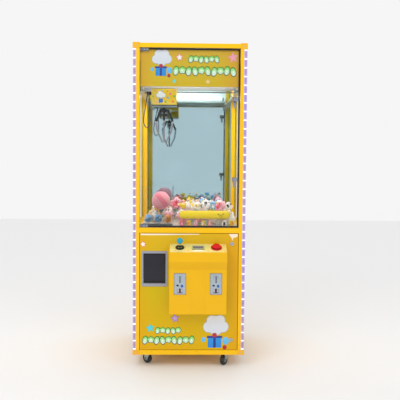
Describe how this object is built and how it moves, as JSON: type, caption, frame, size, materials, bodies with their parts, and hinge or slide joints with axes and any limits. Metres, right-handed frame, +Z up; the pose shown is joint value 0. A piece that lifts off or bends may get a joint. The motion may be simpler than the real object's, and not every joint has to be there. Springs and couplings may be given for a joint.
{
  "type": "claw crane machine",
  "caption": "Upright coin-operated claw crane cabinet with a glazed prize bay, travelling gantry and three-finger claw, control console, prize door and casters.",
  "frame": {"origin": "on the floor under the middle of the machine's footprint, console included", "axes": "+Z up, the front with its doors and console faces -Y, +X to the right of someone standing in front"},
  "size_m": [0.668, 0.8, 1.92],
  "materials": {
    "frame_paint": "gloss yellow powder coat",
    "panel_paint": "painted board",
    "window_glass": "clear float glass",
    "mirror": "silvered",
    "bed_board": "laminated board",
    "clear_acrylic": "clear acrylic",
    "sheet_metal": "galvanised",
    "led_acrylic": "translucent light strip",
    "cap_plastic": "moulded",
    "lamp_white": "white enamel",
    "lamp_tube": "phosphor-coated",
    "aluminium": "satin extrusion",
    "electronics": "boards and cases",
    "black_plastic": "satin moulding",
    "plush_pink": "short pile plush",
    "plush_yellow": "short pile plush",
    "plush_mixed": "short pile plush",
    "marquee_print": "printed acrylic",
    "door_print": "printed sheet steel",
    "console_paint": "gloss yellow powder coat",
    "chrome": "polished",
    "prize_grey": "hammered grey",
    "button_blue": "moulded",
    "ball_teal": "polished ball",
    "button_red": "translucent dome",
    "nylon": "nylon",
    "lead": "pvc sheath",
    "zinc": "zinc plated",
    "tyre": "moulded tread"
  },
  "bodies": {
    "cabinet": {"cabinet_frame": "frame_paint", "cover_panels": "panel_paint", "side_windows": "window_glass", "mirror_panel": "mirror", "prize_bed": "bed_board", "chute_guard": "clear_acrylic", "prize_chute": "sheet_metal", "led_strips": "led_acrylic", "corner_caps": "cap_plastic", "lamp_housing": "lamp_white", "lamp_tube": "lamp_tube", "gantry_rails": "aluminium", "electrics": "electronics", "mains_inlet": "black_plastic", "caster_plates": "zinc", "plush_ball": "plush_pink", "plush_bolster": "plush_yellow", "plush_animals": "plush_mixed"},
    "window_door": {"door_glass": "window_glass", "door_trim": "black_plastic", "marquee_panel": "marquee_print", "door_fittings": "chrome"},
    "service_door": {"lower_door": "door_print", "console": "console_paint", "coin_selectors": "chrome", "deck_fittings": "black_plastic", "lower_fittings": "chrome", "prize_frame": "prize_grey"},
    "prize_flap": {"prize_flap": "black_plastic"},
    "coin_button_left": {"coin_button_left": "button_blue"},
    "coin_button_right": {"coin_button_right": "button_blue"},
    "joystick_gimbal": {"joystick_gimbal": "zinc"},
    "joystick_stick": {"joystick_stick": "ball_teal"},
    "push_button": {"push_button": "button_red"},
    "cash_box": {"cash_box": "sheet_metal"},
    "bridge": {"bridge_beam": "aluminium", "bridge_cable": "lead"},
    "bridge_axle": {"bridge_axle": "zinc"},
    "trolley": {"trolley_frame": "zinc", "trolley_cover": "marquee_print"},
    "trolley_axle": {"trolley_axle": "zinc"},
    "winch_spool": {"winch_spool": "nylon"},
    "claw": {"claw_body": "chrome", "hoist_lines": "nylon"},
    "claw_plunger": {"claw_plunger": "chrome"},
    "claw_finger_1": {"claw_finger_1": "chrome"},
    "claw_finger_2": {"claw_finger_2": "chrome"},
    "claw_finger_3": {"claw_finger_3": "chrome"},
    "lock_window_upper": {"lock_window_upper": "chrome"},
    "lock_window_lower": {"lock_window_lower": "chrome"},
    "lock_door_upper": {"lock_door_upper": "chrome"},
    "lock_door_lower": {"lock_door_lower": "chrome"},
    "caster_fork_1": {"caster_fork_1": "zinc"},
    "caster_wheel_1": {"caster_wheel_1": "tyre"},
    "caster_fork_2": {"caster_fork_2": "zinc"},
    "caster_wheel_2": {"caster_wheel_2": "tyre"},
    "caster_fork_3": {"caster_fork_3": "zinc"},
    "caster_wheel_3": {"caster_wheel_3": "tyre"},
    "caster_fork_4": {"caster_fork_4": "zinc"},
    "caster_wheel_4": {"caster_wheel_4": "tyre"}
  },
  "joints": [
    {"name": "window_door_hinge", "type": "hinge", "parent": "cabinet", "child": "window_door", "pos_m": [-0.284, -0.289, 1.366], "axis": [0, 0, -1], "range_deg": [0, 95]},
    {"name": "service_door_hinge", "type": "hinge", "parent": "cabinet", "child": "service_door", "pos_m": [-0.284, -0.294, 0.458], "axis": [0, 0, -1], "range_deg": [0, 95]},
    {"name": "prize_flap_hinge", "type": "hinge", "parent": "service_door", "child": "prize_flap", "pos_m": [-0.204, -0.292, 0.683], "axis": [1, 0, 0], "range_deg": [0, 60]},
    {"name": "coin_button_left_press", "type": "slide", "parent": "service_door", "child": "coin_button_left", "axis": [0, 1, 0], "range_m": [0, 0.004], "stiffness_N_per_m": 400, "springref_m": -0.002},
    {"name": "coin_button_right_press", "type": "slide", "parent": "service_door", "child": "coin_button_right", "axis": [0, 1, 0], "range_m": [0, 0.004], "stiffness_N_per_m": 400, "springref_m": -0.002},
    {"name": "joystick_push_pull", "type": "hinge", "parent": "service_door", "child": "joystick_gimbal", "pos_m": [-0.054, -0.33857, 0.71103], "axis": [1, 0, 0], "range_deg": [-10, 10], "stiffness_Nm_per_rad": 1.2},
    {"name": "joystick_left_right", "type": "hinge", "parent": "joystick_gimbal", "child": "joystick_stick", "pos_m": [-0.054, -0.33857, 0.71103], "axis": [0, 0.9285, 0.3714], "range_deg": [-10, 10], "stiffness_Nm_per_rad": 1.2},
    {"name": "push_button_press", "type": "slide", "parent": "service_door", "child": "push_button", "axis": [0, 0.3714, -0.9285], "range_m": [0, 0.004], "stiffness_N_per_m": 600, "springref_m": -0.002},
    {"name": "cash_box_lift", "type": "slide", "parent": "cabinet", "child": "cash_box", "axis": [0, 0, 1], "range_m": [0, 0.12]},
    {"name": "bridge_travel", "type": "slide", "parent": "cabinet", "child": "bridge", "axis": [0, 1, 0], "range_m": [0, 0.4]},
    {"name": "bridge_axle_spin", "type": "hinge", "parent": "bridge", "child": "bridge_axle", "pos_m": [0, -0.085, 1.659], "axis": [-1, 0, 0], "continuous": true},
    {"name": "trolley_travel", "type": "slide", "parent": "bridge", "child": "trolley", "axis": [1, 0, 0], "range_m": [0, 0.33]},
    {"name": "trolley_axle_spin", "type": "hinge", "parent": "trolley", "child": "trolley_axle", "pos_m": [-0.11, -0.15, 1.68], "axis": [0, 1, 0], "continuous": true},
    {"name": "hoist", "type": "slide", "parent": "trolley", "child": "claw", "axis": [0, 0, -1], "range_m": [0, 0.29], "deforming": ["hoist_lines"]},
    {"name": "winch_spool_spin", "type": "hinge", "parent": "trolley", "child": "winch_spool", "pos_m": [-0.155, -0.136, 1.625], "axis": [1, 0, 0], "continuous": true},
    {"name": "claw_plunger_slide", "type": "slide", "parent": "claw", "child": "claw_plunger", "axis": [0, 0, -1], "range_m": [0, 0.012]},
    {"name": "claw_finger_1_swing", "type": "hinge", "parent": "claw", "child": "claw_finger_1", "pos_m": [-0.17752, -0.137, 1.543], "axis": [0.5, 0.866, 0], "range_deg": [0, 25.1]},
    {"name": "claw_finger_2_swing", "type": "hinge", "parent": "claw", "child": "claw_finger_2", "pos_m": [-0.13248, -0.137, 1.543], "axis": [0.5, -0.866, 0], "range_deg": [0, 25.1]},
    {"name": "claw_finger_3_swing", "type": "hinge", "parent": "claw", "child": "claw_finger_3", "pos_m": [-0.155, -0.176, 1.543], "axis": [-1, 0, 0], "range_deg": [0, 25.1]},
    {"name": "lock_window_upper_turn", "type": "hinge", "parent": "window_door", "child": "lock_window_upper", "pos_m": [0.264, -0.26, 1.596], "axis": [0, -1, 0], "range_deg": [0, 90]},
    {"name": "lock_window_lower_turn", "type": "hinge", "parent": "window_door", "child": "lock_window_lower", "pos_m": [0.264, -0.26, 1.129], "axis": [0, -1, 0], "range_deg": [0, 90]},
    {"name": "lock_door_upper_turn", "type": "hinge", "parent": "service_door", "child": "lock_door_upper", "pos_m": [0.254, -0.26, 0.748], "axis": [0, -1, 0], "range_deg": [0, 90]},
    {"name": "lock_door_lower_turn", "type": "hinge", "parent": "service_door", "child": "lock_door_lower", "pos_m": [0.254, -0.26, 0.169], "axis": [0, -1, 0], "range_deg": [0, 90]},
    {"name": "caster_1_swivel", "type": "hinge", "parent": "cabinet", "child": "caster_fork_1", "pos_m": [-0.231, -0.225, 0.07], "axis": [0, 0, 1], "continuous": true},
    {"name": "caster_1_roll", "type": "hinge", "parent": "caster_fork_1", "child": "caster_wheel_1", "pos_m": [-0.25092, -0.20829, 0.031], "axis": [-0.6428, -0.766, 0], "continuous": true},
    {"name": "caster_2_swivel", "type": "hinge", "parent": "cabinet", "child": "caster_fork_2", "pos_m": [0.231, -0.225, 0.07], "axis": [0, 0, 1], "continuous": true},
    {"name": "caster_2_roll", "type": "hinge", "parent": "caster_fork_2", "child": "caster_wheel_2", "pos_m": [0.21609, -0.2463, 0.031], "axis": [0.8192, -0.5736, 0], "continuous": true},
    {"name": "caster_3_swivel", "type": "hinge", "parent": "cabinet", "child": "caster_fork_3", "pos_m": [-0.231, 0.325, 0.07], "axis": [0, 0, 1], "continuous": true},
    {"name": "caster_3_roll", "type": "hinge", "parent": "caster_fork_3", "child": "caster_wheel_3", "pos_m": [-0.25543, 0.31611, 0.031], "axis": [0.342, -0.9397, 0], "continuous": true},
    {"name": "caster_4_swivel", "type": "hinge", "parent": "cabinet", "child": "caster_fork_4", "pos_m": [0.231, 0.325, 0.07], "axis": [0, 0, 1], "continuous": true},
    {"name": "caster_4_roll", "type": "hinge", "parent": "caster_fork_4", "child": "caster_wheel_4", "pos_m": [0.20657, 0.33389, 0.031], "axis": [-0.342, -0.9397, 0], "continuous": true}
  ],
  "couplings": [
    {"joint": "bridge_axle_spin", "follows": "bridge_travel", "rad_per_m": 62.5},
    {"joint": "trolley_axle_spin", "follows": "trolley_travel", "rad_per_m": 125},
    {"joint": "winch_spool_spin", "follows": "hoist", "rad_per_m": 71.429},
    {"joint": "claw_finger_1_swing", "follows": "claw_plunger_slide", "rad_per_m": 36.361},
    {"joint": "claw_finger_2_swing", "follows": "claw_plunger_slide", "rad_per_m": 36.361},
    {"joint": "claw_finger_3_swing", "follows": "claw_plunger_slide", "rad_per_m": 36.361}
  ]
}
